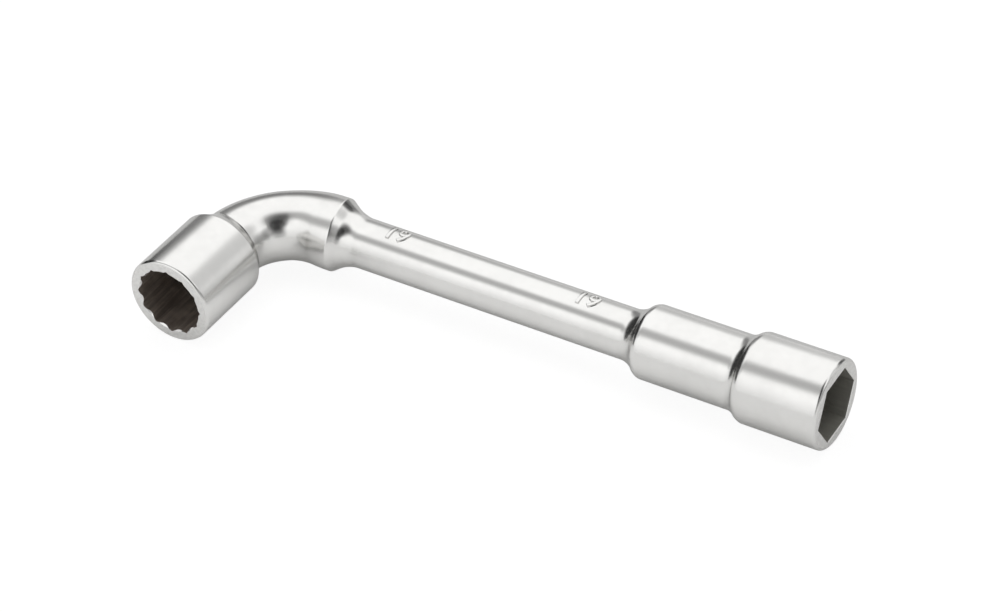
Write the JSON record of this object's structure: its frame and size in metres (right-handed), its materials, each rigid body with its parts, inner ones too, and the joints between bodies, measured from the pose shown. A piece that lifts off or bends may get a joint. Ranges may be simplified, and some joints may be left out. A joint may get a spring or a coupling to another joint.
{
  "type": "angled socket wrench",
  "caption": "Forged angled wrench with a hexagonal socket on its long leg, a double-hexagon socket on its short leg and an elbow open to long studs.",
  "frame": {"origin": "where the axes of the two sockets cross, in the stud passage's outlet on the outside of the elbow", "axes": "+X runs along the long leg towards the hexagonal mouth, -Y runs along the short leg towards the double-hexagon mouth, and +Z is square to both legs"},
  "size_m": [0.2037, 0.064, 0.0274],
  "materials": {
    "satin_chrome": "satin chrome plating on a forged and tumbled steel body"
  },
  "bodies": {
    "root": {"twelve_point_head": "satin_chrome", "elbow": "satin_chrome", "elbow_taper": "satin_chrome", "shank": "satin_chrome", "barrel_taper": "satin_chrome", "barrel": "satin_chrome", "six_point_head": "satin_chrome"}
  },
  "joints": []
}
